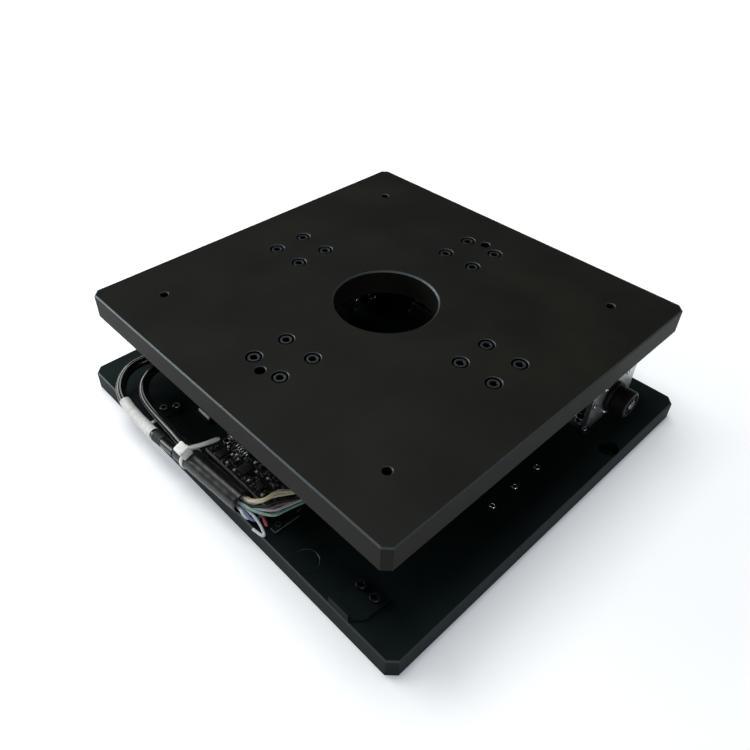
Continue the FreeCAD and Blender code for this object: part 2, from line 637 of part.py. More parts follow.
units = [
    Unit("u", "unit_radius", "0", 90, -1),
    Unit("v", "-unit_radius", "0", -90, 1),
    Unit("w", "0", "unit_radius", 180, -1),
    Unit("follower", "0", "-unit_radius", 0, 1, driven=False),
]

makeBase()
makeTable()
for unit in units:
    unit.build("free_face" if unit.name == "w" else "0")
makeTray()
makeBoard()
makeHeader()
makeClip()
makeCables()
doc.recompute()

nodes = [item for item in doc.Objects if item.TypeId in ("PartDesign::Body", "Part::Feature")]
for item in doc.Objects:
    if "Invalid" in item.State or "Error" in item.State:
        raise ValueError(f"{item.Name} failed: {item.State}")
os.makedirs("parts", exist_ok=True)
for node in nodes:
    shape = node.Shape
    if shape.isNull() or not shape.isValid() or not shape.Solids:
        raise ValueError(f"{node.Label} has no sound shape")
    shape.exportStep(f"parts/{node.Label}.step")
print(len(nodes), "pieces")
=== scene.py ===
import collections
import math
import random

import bmesh
import bpy
from mathutils import Matrix, Vector


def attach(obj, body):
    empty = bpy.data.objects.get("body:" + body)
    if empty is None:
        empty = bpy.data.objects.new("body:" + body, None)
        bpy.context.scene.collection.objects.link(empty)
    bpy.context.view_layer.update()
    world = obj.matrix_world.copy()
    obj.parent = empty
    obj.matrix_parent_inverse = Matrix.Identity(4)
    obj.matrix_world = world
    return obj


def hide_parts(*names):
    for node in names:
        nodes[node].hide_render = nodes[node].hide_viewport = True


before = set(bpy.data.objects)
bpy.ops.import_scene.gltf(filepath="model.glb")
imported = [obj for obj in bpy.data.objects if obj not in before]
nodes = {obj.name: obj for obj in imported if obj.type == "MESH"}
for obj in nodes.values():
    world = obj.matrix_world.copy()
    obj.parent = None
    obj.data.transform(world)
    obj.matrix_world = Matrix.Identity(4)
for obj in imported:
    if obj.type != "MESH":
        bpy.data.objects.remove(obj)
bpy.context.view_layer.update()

mm = 0.001
print("frame loaded:", len(nodes), "nodes")


# camera, fitted to the edges of both plates
cameraLook = {
    "place": (-160.5, -150.4, 205.4),  # mm
    "azimuth": -43.32,
    "elevation": 40.21,
    "roll": 0.51,
    "lens": 33.84,
    "shift": (0.034, -0.0196),
}


def makeCamera(look):
    az, el, roll = (math.radians(look[key]) for key in ("azimuth", "elevation", "roll"))
    back = Vector((math.sin(az) * math.cos(el), -math.cos(az) * math.cos(el), math.sin(el)))
    right = Vector((math.cos(az), math.sin(az), 0))
    up = back.cross(right)
    leftRolled = right * math.cos(roll) + up * math.sin(roll)
    upRolled = up * math.cos(roll) - right * math.sin(roll)
    camera = bpy.data.cameras.new("camera")
    camera.lens = look["lens"]
    camera.sensor_width = 36
    camera.shift_x, camera.shift_y = look["shift"]
    camera.clip_start = 0.01
    holder = bpy.data.objects.new("camera", camera)
    turn = Matrix((leftRolled, upRolled, back)).transposed().to_4x4()
    holder.matrix_world = Matrix.Translation(Vector(look["place"]) * mm) @ turn
    bpy.context.scene.collection.objects.link(holder)
    bpy.context.scene.camera = holder


makeCamera(cameraLook)


def linear(hexColour):
    channels = [int(hexColour[i:i + 2], 16) / 255 for i in (0, 2, 4)]
    return tuple(c / 12.92 if c <= 0.04045 else ((c + 0.055) / 1.055) ** 2.4 for c in channels) + (1.0,)


def addNode(tree, kind, inputs=None, **settings):
    node = tree.nodes.new("ShaderNode" + kind)
    for name, setting in settings.items():
        setattr(node, name, setting)
    for socket, given in (inputs or {}).items():
        if isinstance(given, bpy.types.NodeSocket):
            tree.links.new(given, node.inputs[socket])
        else:
            node.inputs[socket].default_value = given
    return node


def newMaterial(name, sockets):
    material = bpy.data.materials.new(name)
    material.use_nodes = True
    tree = material.node_tree
    shader = tree.nodes["Principled BSDF"]
    for socket, value in sockets.items():
        shader.inputs[socket].default_value = value
    place = addNode(tree, "TexCoord").outputs["Object"]
    return material, tree, shader, place


def perMetre(millimetres):
    return 1 / (millimetres * mm)  # a pattern's scale, from the real size of one of its grains


def blend(tree, factor, dark, light):
    low, high = (0.35, 0.65)
    ramp = addNode(tree, "ValToRGB", {"Fac": factor})
    ramp.color_ramp.elements[0].position, ramp.color_ramp.elements[1].position = low, high
    ramp.color_ramp.elements[0].color, ramp.color_ramp.elements[1].color = linear(dark), linear(light)
    return ramp.outputs["Color"]


# black anodised aluminium, milled and then blasted: deep black, a soft even sheen, faint cloudiness;
# the 45 degree breaks get a paler, partly metallic grey: a painted highlight for fine bright lines, besides the lamps
# they mirror
anodisedLook = {
    "dark": "131410", "light": "191a15", "edge": "50575a", "bare": 0.85, "cloudMm": 28, "blastMm": 0.45,
    "rough": (0.44, 0.52), "depth": 0.05, "specular": 0.06,
}
# the base's 45 degree breaks carry the same painted highlight, in a slightly darker grey
baseLook = {"dark": "101818", "light": "172020", "edge": "484e51", "specular": 0.035}
unitLook = {"dark": "0d0f0f", "light": "131615", "cloudMm": 9, "specular": 0.3}
tappedLook = {"edge": "1c1e1d", "bare": 0.0, "cloudMm": 2}
slopeReach = 0.15  # how far a face's upward part may be from that of a 45 degree break


def slopedFaces(tree):
    face = addNode(tree, "NewGeometry").outputs["True Normal"]
    height = addNode(tree, "SeparateXYZ", {"Vector": face}).outputs["Z"]
    offSlope = addNode(tree, "Math", {0: height, 1: math.sqrt(0.5)}, operation="SUBTRACT")
    size = addNode(tree, "Math", {0: offSlope.outputs[0]}, operation="ABSOLUTE")
    return addNode(tree, "Math", {0: size.outputs[0], 1: slopeReach}, operation="LESS_THAN").outputs[0]


def anodisedAluminium(name, look):
    sockets = {"IOR": 1.5, "Specular IOR Level": look["specular"]}
    material, tree, shader, place = newMaterial(name, sockets)
    cloud = addNode(tree, "TexNoise", {"Vector": place, "Scale": perMetre(look["cloudMm"]), "Detail": 5.0})
    dye = blend(tree, cloud.outputs["Fac"], look["dark"], look["light"])
    slope = slopedFaces(tree)
    # painted highlight: faces sloped at 45 degrees take the paler edge colour in place of the dye
    paintedEdgeHighlight = addNode(tree, "Mix", {0: slope, 6: dye, 7: linear(look["edge"])}, data_type="RGBA")
    tree.links.new(paintedEdgeHighlight.outputs[2], shader.inputs["Base Color"])
    bare = addNode(tree, "Math", {0: slope, 1: look["bare"]}, operation="MULTIPLY")
    tree.links.new(bare.outputs[0], shader.inputs["Metallic"])
    blast = addNode(tree, "TexNoise", {"Vector": place, "Scale": perMetre(look["blastMm"]), "Detail": 2.0})
    low, high = look["rough"]
    rough = addNode(tree, "MapRange", {"Value": cloud.outputs["Fac"], "To Min": low, "To Max": high})
    tree.links.new(rough.outputs["Result"], shader.inputs["Roughness"])
    bump = addNode(tree, "Bump", {"Height": blast.outputs["Fac"], "Strength": look["depth"], "Distance": 0.05 * mm})
    tree.links.new(bump.outputs["Normal"], shader.inputs["Normal"])
    return material


# ground steel: grey, with fine lines along the way it was ground
groundSteelLook = {
    "dark": "8d8f92", "light": "a9abad", "lineMm": (14, 0.35, 0.35), "rough": (0.22, 0.36), "depth": 0.12,
}


def groundMetal(name, look):
    material, tree, shader, place = newMaterial(name, {"Metallic": 1.0})
    x, y, z = (perMetre(size) for size in look["lineMm"])
    stretched = addNode(tree, "Mapping", {"Vector": place, "Scale": (x, y, z)})
    lines = addNode(tree, "TexNoise", {"Vector": stretched.outputs["Vector"], "Scale": 1.0, "Detail": 3.0})
    tree.links.new(blend(tree, lines.outputs["Fac"], look["dark"], look["light"]), shader.inputs["Base Color"])
    low, high = look["rough"]
    rough = addNode(tree, "MapRange", {"Value": lines.outputs["Fac"], "To Min": low, "To Max": high})
    tree.links.new(rough.outputs["Result"], shader.inputs["Roughness"])
    bump = addNode(tree, "Bump", {"Height": lines.outputs["Fac"], "Strength": look["depth"], "Distance": 0.05 * mm})
    tree.links.new(bump.outputs["Normal"], shader.inputs["Normal"])
    return material


# moulded or coated surfaces: one colour with a faint grain and an uneven gloss
def mouldedSurface(name, look):
    sockets = {"Metallic": 0.0, "IOR": 1.5, "Specular IOR Level": look.get("specular", 0.5)}
    material, tree, shader, place = newMaterial(name, sockets)
    grain = addNode(tree, "TexNoise", {"Vector": place, "Scale": perMetre(look["grainMm"]), "Detail": 3.0})
    tree.links.new(blend(tree, grain.outputs["Fac"], look["dark"], look["light"]), shader.inputs["Base Color"])
    low, high = look["rough"]
    rough = addNode(tree, "MapRange", {"Value": grain.outputs["Fac"], "To Min": low, "To Max": high})
    tree.links.new(rough.outputs["Result"], shader.inputs["Roughness"])
    bump = addNode(tree, "Bump", {"Height": grain.outputs["Fac"], "Strength": look["depth"], "Distance": 0.1 * mm})
    tree.links.new(bump.outputs["Normal"], shader.inputs["Normal"])
    return material


# black stoving paint over stacked sheets: the sheets show as fine level lines across the motor
motorLook = {"dark": "0d0e0e", "light": "151716", "sheetMm": 0.9, "grainMm": 0.6, "rough": 0.42, "depth": 0.5}
waveFactor = 20  # the wave texture's own factor; its bands repeat every 2 pi times sheetMm


def paintedMotor(name, look, along):
    material, tree, shader, place = newMaterial(name, {"Metallic": 0.0, "IOR": 1.5, "Roughness": look["rough"]})
    grain = addNode(tree, "TexNoise", {"Vector": place, "Scale": perMetre(look["grainMm"]), "Detail": 2.0})
    tree.links.new(blend(tree, grain.outputs["Fac"], look["dark"], look["light"]), shader.inputs["Base Color"])
    wave = {"Vector": place, "Scale": perMetre(look["sheetMm"]) / waveFactor, "Distortion": 0.0}
    sheets = addNode(tree, "TexWave", wave, bands_direction=along)
    bump = addNode(tree, "Bump", {"Height": sheets.outputs["Fac"], "Strength": look["depth"], "Distance": 0.06 * mm})
    tree.links.new(bump.outputs["Normal"], shader.inputs["Normal"])
    return material


finishes = {
    "plate": anodisedAluminium("anodisedPlate", anodisedLook),
    "base": anodisedAluminium("anodisedBase", dict(anodisedLook, **baseLook)),
    "unit": anodisedAluminium("anodisedUnit", dict(anodisedLook, **unitLook)),
    "tapped": anodisedAluminium("tappedHole", dict(anodisedLook, **tappedLook)),
    "railX": groundMetal("groundRailX", groundSteelLook),
    "railY": groundMetal("groundRailY", dict(groundSteelLook, lineMm=(0.35, 14, 0.35))),
    "motorX": paintedMotor("paintedMotorX", motorLook, "X"),
    "motorY": paintedMotor("paintedMotorY", motorLook, "Y"),
}
# bare metals: name, dark and light colour, size of the tool marks in mm, roughness; what each gives the eye
metals = {
    "block": ("hardenedBlock", "74777a", "8c8f92", (1.5, 1.5, 0.4), (0.3, 0.42)),  # dull grey, faint level lines
    "rotor": ("turnedRotor", "7d8084", "96999c", (0.8, 0.8, 0.3), (0.22, 0.36)),  # mid grey, fine turning marks
    "bracket": ("clearAnodisedSheet", "b4b8bb", "c9cccf", (0.3, 0.3, 9), (0.34, 0.48)),  # pale satin, brushed upright
    "brass": ("turnedBrass", "b08a45", "cda75c", (0.4, 2, 2), (0.22, 0.36)),  # warm yellow, turned
    "screw": ("rolledSteel", "8a8c8f", "b5b7ba", (1, 1, 1), (0.2, 0.34)),  # bright rolled flanks
    "bolt": ("blackOxideBolt", "2c2f31", "3a3d40", (0.5, 0.5, 0.5), (0.42, 0.52)),  # dark grey ring in the plate
    "stainless": ("stainlessBolt", "b9babd", "d6d7da", (0.6, 0.6, 0.6), (0.16, 0.28)),  # small bright heads
    "oxide": ("oiledScrew", "2c2e30", "3c3e41", (0.5, 0.5, 0.5), (0.4, 0.5)),  # nearly black heads
    "solder": ("tinnedSolder", "b4b5b3", "d9dad8", (0.8, 0.8, 0.8), (0.2, 0.35)),  # bright specks
}
for finish, (name, dark, light, lineMm, rough) in metals.items():
    look = dict(groundSteelLook, dark=dark, light=light, lineMm=lineMm, rough=rough)
    finishes[finish] = groundMetal(name, look)
# mouldings and coatings: name, dark and light colour, grain in mm, roughness, depth of the grain, specular
mouldings = {
    # painted shade: key holes coloured near black, darker than any screw's steel, for the shade inside them
    "socket": ("socketPaintedShade", "050606", "0a0b0b", 0.5, (0.5, 0.6), 0.1, 0.2),  # deep black key holes
    "knob": ("mouldedKnob", "070808", "0b0c0c", 0.5, (0.48, 0.6), 0.06, 0.2),  # matt black grip
    # painted highlight: a thin grey line standing in for light caught on an edge
    "paintedEdgeHighlight": ("paintedHighlightLine", "4c5052", "65696b", 1.5, (0.45, 0.55), 0.1, 0.5),  # thin grey line
    "nylon": ("natureNylon", "d9dad6", "eeefec", 2, (0.36, 0.48), 0.08, 0.5),  # milky white
    "header": ("ivoryNylon", "d8d3c2", "e9e5d8", 1.5, (0.34, 0.46), 0.08, 0.5),  # ivory
    "jacket": ("cableJacket", "0a0b0c", "101213", 2.5, (0.15, 0.2), 0.06, 0.5),  # thin bright lines along black cable
    "shrink": ("shrinkSleeve", "0a0b0d", "0f1113", 9, (0.3, 0.36), 0.05, 0.5),  # soft wide sheen on black
    "paperSleeve": ("bareWhiteSleeve", "cfd0cd", "e6e7e4", 1.5, (0.42, 0.55), 0.15, 0.5),  # plain white, uneven
    "mask": ("solderMask", "060d09", "09140e", 4, (0.3, 0.42), 0.05, 0.5),  # almost black green
    "track": ("maskedTrack", "0d1f16", "122a1d", 2, (0.3, 0.4), 0.05, 0.5),  # green lines under the mask
    "laminate": ("sawnLaminate", "6e7069", "8f9189", 0.5, (0.6, 0.7), 0.1, 0.5),  # pale sawn edge
    "epoxy": ("chipEpoxy", "101112", "1b1c1e", 0.4, (0.42, 0.55), 0.1, 0.5),  # matt black bodies
    "ceramic": ("tanCeramic", "4d473e", "665f54", 0.6, (0.4, 0.5), 0.05, 0.5),  # brownish grains
    "legend": ("whiteLegend", "d4d6d2", "e4e6e2", 1, (0.5, 0.6), 0.02, 0.5),  # white dots
    "boot": ("mouldedBoot", "1b1d1e", "2a2c2d", 0.8, (0.45, 0.6), 0.15, 0.5),  # dark grey rubber
    "seal": ("blockSeal", "1d2b24", "26362e", 0.8, (0.4, 0.5), 0.08, 0.5),  # dark green wipers
}
for finish, (name, dark, light, grainMm, rough, depth, specular) in mouldings.items():
    look = {"dark": dark, "light": light, "grainMm": grainMm, "rough": rough, "depth": depth, "specular": specular}
    finishes[finish] = mouldedSurface(name, look)
# soft vinyl over stranded copper: smooth, a little shiny
leadColours = {
    "cream": ("cfccb0", "dedbc3"), "yellow": ("c8bf93", "d8cfa6"), "brown": ("6f5b57", "86716c"),
    "grey": ("9b9891", "b3b0a8"), "teal": ("7fa49c", "9cc0b6"), "white": ("bec6ce", "d3dae1"),
    "black": ("0c1512", "131d19"), "blue": ("4a5a86", "7485b4"), "red": ("a04a4c", "bd6769"),
}
for colour, (dark, light) in leadColours.items():
    look = {"dark": dark, "light": light, "grainMm": 1.5, "rough": (0.32, 0.44), "depth": 0.1}
    finishes[colour] = mouldedSurface(colour + "LeadJacket", look)
print("materials made:", len(finishes))


def dressNode(name, finish):
    data = nodes[name].data
    data.materials.clear()
    data.materials.append(finishes[finish])


unitNames = ("u", "v", "w")
for unit in unitNames:
    along = "X" if unit == "w" else "Y"
    across = "Y" if unit == "w" else "X"
    for side in ("left", "right"):
        dressNode(f"{unit}_rail_{side}", "rail" + along)
        dressNode(f"{unit}_block_{side}", "block")
    dressNode(f"{unit}_cross_rail", "rail" + across)
    dressNode(f"{unit}_motor", "motor" + along)
    dressNode(f"{unit}_nut", "brass")
    dressNode(f"{unit}_screw", "screw")
    dressNode(f"{unit}_bracket", "bracket")
    dressNode(f"{unit}_knob", "knob")
    dressNode(f"{unit}_bearing", "unit")
for unit in unitNames + ("follower",):
    dressNode(f"{unit}_saddle", "unit")
    dressNode(f"{unit}_cross_block", "unit")
    dressNode(f"{unit}_rotor", "rotor")
for node, finish in {
    "base_plate": "base", "table_plate": "plate", "follower_rail": "railX", "follower_block": "block",
    "follower_cross_rail": "railY", "board_tray": "base", "circuit_board": "mask", "wire_header": "header",
    "edge_clip": "base", "cable_tie": "nylon", "cable_sheath": "shrink",
    "cable_outer": "jacket", "cable_inner": "jacket",
    "wire_bundle": "jacket",
}.items():
    dressNode(node, finish)


# shapes for the pieces, all given in millimetres
def hexShape(radius, angle, height):
    return radius / math.cos(angle % (math.pi / 3) - math.pi / 6)  # radius is half the width over the flats


def threadShape(pitch, depth):
    return lambda radius, angle, height: radius - depth * abs((height / pitch - angle / math.tau) % 1 * 2 - 1)


def turned(bm, profile, place, axis=(0, 0, 1), sides=24, closed=True):
    turn = Vector((0, 0, 1)).rotation_difference(Vector(axis)).to_matrix()
    rings = []
    for radius, height, *shape in profile:
        ring = []
        for k in range(sides):
            angle = math.tau * k / sides
            reach = shape[0](radius, angle, height) if shape else radius
            spot = Vector((reach * math.cos(angle), reach * math.sin(angle), height))
            ring.append(bm.verts.new(Vector(place) + turn @ spot))
        rings.append(ring)
    bridge(bm, rings, closed)


def bridge(bm, rings, closed=True):
    for low, high in zip(rings, rings[1:]):
        for k in range(len(low)):
            after = (k + 1) % len(low)
            bm.faces.new((low[k], low[after], high[after], high[k]))
    if closed:
        bm.faces.new(list(reversed(rings[0])))
        bm.faces.new(rings[-1])


def block(bm, low, high, edge=0.1, turn=None):
    low, high = Vector(low), Vector(high)
    middle, span = (low + high) / 2, high - low
    made = bmesh.ops.create_cube(bm, size=1)["verts"]
    for vert in made:
        spot = Vector(a * b for a, b in zip(vert.co, span))
        vert.co = middle + (turn @ spot if turn else spot)
    edges = {e for vert in made for e in vert.link_edges}
    bmesh.ops.bevel(bm, geom=list(edges), offset=edge, segments=2, affect="EDGES", profile=0.6)


def finishPiece(name, parts, body, crease=35):
    mesh = bpy.data.meshes.new(name)
    whole = bmesh.new()
    for index, (finish, bm) in enumerate(parts.items()):
        bmesh.ops.recalc_face_normals(bm, faces=bm.faces)
        for face in bm.faces:
            face.material_index = index
            face.smooth = True
        part = bpy.data.meshes.new("part")
        bm.to_mesh(part)
        bm.free()
        whole.from_mesh(part)
        bpy.data.meshes.remove(part)
        mesh.materials.append(finishes[finish])
    bmesh.ops.scale(whole, vec=(mm, mm, mm), verts=whole.verts)
    for edge in whole.edges:
        if len(edge.link_faces) == 2 and edge.calc_face_angle() > math.radians(crease):
            edge.smooth = False
    whole.to_mesh(mesh)
    whole.free()
    piece = bpy.data.objects.new(name, mesh)
    bpy.context.scene.collection.objects.link(piece)
    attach(piece, body)
    return piece


def newParts():
    return collections.defaultdict(bmesh.new)


def capScrew(parts, finish, place, width, axis=(0, 0, 1), height=None, key=None):
    r = width / 2
    tall = height or width * 0.55
    socket = (key or width * 0.46) / 2
    turned(parts[finish], [(r * 0.93, 0), (r, 0.06 * r), (r, tall - 0.14 * r), (r * 0.9, tall), (socket * 1.25, tall),
                           (socket * 1.15, tall - 0.06 * r)], place, axis, 40, closed=False)
    floor = tall * 0.4
    # the hex hole takes the near-black socket colour, a painted shade
    hole = [(socket * 1.15, tall - 0.06 * r), (socket * 1.1, tall - 0.1 * r), (socket, tall - 0.12 * r, hexShape),
            (socket, floor, hexShape), (0.02, floor - 0.1)]
    turned(parts["socket"], hole, place, axis, 24, closed=False)


# where the units stand: local X runs along the drive, away from the motor, and local Y across it
unitPlaces = {
    "u": lambda x, y, z: Vector((50 - y, x, z)),
    "v": lambda x, y, z: Vector((y - 50, -x, z)),
    "w": lambda x, y, z: Vector((-x, 50 - y, z)),
    "follower": lambda x, y, z: Vector((x, y - 50, z)),
}
unitSide = {"u": -1, "v": 1, "w": -1, "follower": 0}
driveOffset = 3
driveHeight = 18


def spot(unit, x, y, z):
    return unitPlaces[unit](x, y, z)


def heading(unit, x, y, z):
    return spot(unit, x, y, z) - spot(unit, 0, 0, 0)


def unitBlock(bm, unit, low, high, edge=0.1):
    a, b = spot(unit, *low), spot(unit, *high)
    block(bm, [min(p) for p in zip(a, b)], [max(p) for p in zip(a, b)], edge)


# the sixteen screws that hold the table, sunk in their counterbores
tableBolt = {"pitch": 14.3, "width": 4.7, "under": 46.6, "tall": 3.05, "key": 2.4}


def makeTableBolts(look):
    for unit in unitPlaces:
        parts = newParts()
        for x in (-look["pitch"] / 2, look["pitch"] / 2):
            for y in (-look["pitch"] / 2, look["pitch"] / 2):
                seat = spot(unit, x, y, look["under"])
                capScrew(parts, "bolt", seat, look["width"], (0, 0, 1), look["tall"], look["key"])
        finishPiece(f"{unit}TableBolts", parts, "table")


tapThread = {"reach": 60, "radius": 1.63, "depth": 0.2, "pitch": 0.7, "low": 40.2, "high": 49.3}


def makeTapThreads(look):
    parts = newParts()
    steps = round((look["high"] - look["low"]) / look["pitch"] * 4)
    shape = threadShape(look["pitch"], look["depth"])
    for x in (-look["reach"], look["reach"]):
        for y in (-look["reach"], look["reach"]):
            heights = [look["low"] + (look["high"] - look["low"]) * k / steps for k in range(steps + 1)]
            turned(parts["tapped"], [(look["radius"], h, shape) for h in heights], (x, y, 0), sides=20, closed=False)
    finishPiece("tapThreads", parts, "table")


# leadscrew: ground shank through the motor, rolled thread of 1 mm pitch beyond the bearing
leadscrew = {"width": 4, "tip": -82.3, "shank": -30.2, "end": 16, "pitch": 1.0, "depth": 0.42}


def makeLeadscrew(unit, look):
    parts = newParts()
    r = look["width"] / 2
    profile = [(r - 0.2, look["tip"]), (r, look["tip"] + 0.2), (r, look["shank"])]
    profile += [(r - look["depth"], look["shank"] + 0.4)]
    shape = threadShape(look["pitch"], look["depth"])
    steps = round((look["end"] - look["shank"] - 1.4) / look["pitch"] * 4)
    profile += [(r, look["shank"] + 0.8 + look["pitch"] * k / 4, shape) for k in range(steps + 1)]
    profile += [(r - look["depth"], look["end"] - 0.5), (r - 0.8, look["end"])]
    axle = spot(unit, 0, driveOffset * unitSide[unit], driveHeight)
    turned(parts["screw"], profile, axle, heading(unit, 1, 0, 0), 16)
    piece = finishPiece(f"{unit}Leadscrew", parts, f"{unit}_drive")
    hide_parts(f"{unit}_screw")


# moulded hand knob on the shaft's rear end: smooth grip, thin dark steel rim and a dished face round the shaft
handKnob = {"flange": 12.8, "grip": 11, "front": -74.0, "flangeEnd": -75.4, "rear": -82.0, "dish": 8.2, "shaft": 4.1}


def makeKnob(unit, look):
    parts = newParts()
    f, g, d, s = (look[key] / 2 for key in ("flange", "grip", "dish", "shaft"))
    front, step, rear = look["front"], look["flangeEnd"], look["rear"]
    axle = spot(unit, 0, driveOffset * unitSide[unit], driveHeight)
    ahead = heading(unit, 1, 0, 0)
    flange = [(s, front), (f - 0.3, front), (f, front - 0.3), (f, step + 0.3), (f - 0.3, step), (g - 0.5, step - 0.1)]
    grip = [(g - 0.5, step - 0.6), (g, step - 0.9), (g, step - 2.1), (g - 0.18, step - 2.2), (g - 0.18, step - 2.5),
            (g, step - 2.6), (g, rear + 0.5), (g - 0.35, rear + 0.1)]
    turned(parts["knob"], flange + grip, axle, ahead, 64, closed=False)
    turned(parts["oxide"], [(g - 0.35, rear + 0.1), (g - 0.6, rear), (g - 0.85, rear)], axle, ahead, 64, closed=False)
    face = [(g - 0.85, rear), (d + 0.05, rear + 0.1), (d, rear + 0.6), (s + 0.6, rear + 0.6), (s + 0.6, rear + 0.4),
            (s, rear + 0.4), (s, rear + 0.9)]
    turned(parts["knob"], face, axle, ahead, 64, closed=False)
    grub = spot(unit, step - 3.8, driveOffset * unitSide[unit], driveHeight + g - 0.5)
    capScrew(parts, "stainless", grub, 1.9, (0, 0, 1), 0.42, 0.9)
    piece = finishPiece(f"{unit}HandKnob", parts, f"{unit}_drive")
    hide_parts(f"{unit}_knob")


# fixings of one driven unit; places across are from the drive's axis, towards the unit's wide side
driveFixings = {
    "plate": -73.6, "small": 2.4, "plateScrews": ((-14.0, 20.7), (-3.4, 11.4), (7.7, 25.7), (-7.7, 25.7)),
    "foot": (-69.6, 12.875, 4.5, 10.0), "bearing": -34.6, "bearingFoot": 11.5, "bearingFace": -30.6,
    "button": (-73.6, 16.4), "outlet": 13, "pins": 6, "pinPitch": 1.4, "firstPin": -68.3,
}


def makeDriveFixings(unit, look):
    side = unitSide[unit]
    axle = driveOffset * side
    rearward, ahead = heading(unit, -1, 0, 0), heading(unit, 1, 0, 0)
    parts = newParts()
    x, across, width, height = look["foot"]
    capScrew(parts, "stainless", spot(unit, x, axle - side * across, height), width, (0, 0, 1), 2.2, 2.0)
    for across, height in look["plateScrews"]:
        seat = spot(unit, look["plate"], axle + side * across, height)
        capScrew(parts, "stainless", seat, look["small"], rearward, 0.9, 1.1)
    for across in (-11, 11):
        seat = spot(unit, look["bearing"], axle + across, look["bearingFoot"])
        capScrew(parts, "stainless", seat, 4.5, (0, 0, 1), 2.5, 2.0)
    # four screws round the ball bearing, and its cover ring
    for across in (-6.2, 6.2):
        for height in (12, 24):
            capScrew(parts, "stainless", spot(unit, look["bearingFace"], axle + across, height), 2.6, ahead, 1.2, 1.2)
    turned(parts["rotor"], [(5.6, 0), (5.6, 0.5), (5.2, 0.7), (3.2, 0.7), (2.6, 0.4), (2.6, 0)],
           spot(unit, look["bearingFace"], axle, driveHeight), ahead, 40, closed=False)
    # small black stop with a button screw, beside the bracket
    x, across = look["button"]
    stop = spot(unit, x, axle - side * across, 8)
    turned(parts["knob"], [(2.0, 0), (2.1, 0.2), (2.0, 1.8), (1.8, 2.0), (0.02, 2.0)], stop, sides=32)
    capScrew(parts, "stainless", stop + Vector((0, 0, 2.0)), 2.0, (0, 0, 1), 0.6, 0.8)
    # six-way socket on the motor's outlet
    face = axle - side * look["outlet"]
    if unit != "v":
        for k in range(look["pins"]):
            x = look["firstPin"] + look["pinPitch"] * k
            unitBlock(parts["brass"], unit, (x, face - side * 0.05, 17.6), (x + 0.5, face - side * 0.9, 18.4), 0.05)
        left, right, low, high, wall = -69.2, -60.0, 15.5, 20.5, 0.6
        for x0, z0, x1, z1 in ((left, low, right, low + wall), (left, high - wall, right, high),
                               (left, low, left + wall, high), (right - wall, low, right, high)):
            unitBlock(parts["header"], unit, (x0, face - side * 0.02, z0), (x1, face - side * 1.1, z1), 0.08)
    finishPiece(f"{unit}DriveFixings", parts, "base")
    parts = newParts()
    for across in (-6, 6):
        capScrew(parts, "stainless", spot(unit, -20, axle + across, 16 + 2.8), 3.2, rearward, 1.3, 1.5)
    turned(parts["nylon"], [(2.3, 0), (3.3, 0), (3.3, 1.0), (3.0, 1.2), (2.3, 1.2)], spot(unit, -20, axle, driveHeight),
           rearward, 32, closed=False)
    finishPiece(f"{unit}NutFixings", parts, f"{unit}_carriage")


# guides: wipers at the ends of each block, screws in the rails and on the saddle
guideLook = {
    "spread": 10, "reach": 15, "wiper": 1.1, "railScrew": 2.9, "railEnd": 20, "railSeat": 10.6, "crossSeat": 26.1,
    "sunk": 1.2, "key": 1.3, "saddleScrew": (14.2, 23.4), "crossReach": 10.5, "housingScrew": (12.1, 37.4),
}


def wiper(bm, unit, x, y, halfWidth, low, high, clear, top, outward, across=False):
    def bar(y0, y1, z0, z1):
        ends = ((x, y0, z0), (x + outward, y1, z1))
        if across:
            ends = [(end[1], end[0], end[2]) for end in ends]
        unitBlock(bm, unit, ends[0], ends[1], 0.12)

    bar(y - halfWidth, y - clear, low, top)
    bar(y + clear, y + halfWidth, low, top)
    bar(y - halfWidth, y + halfWidth, top, high)


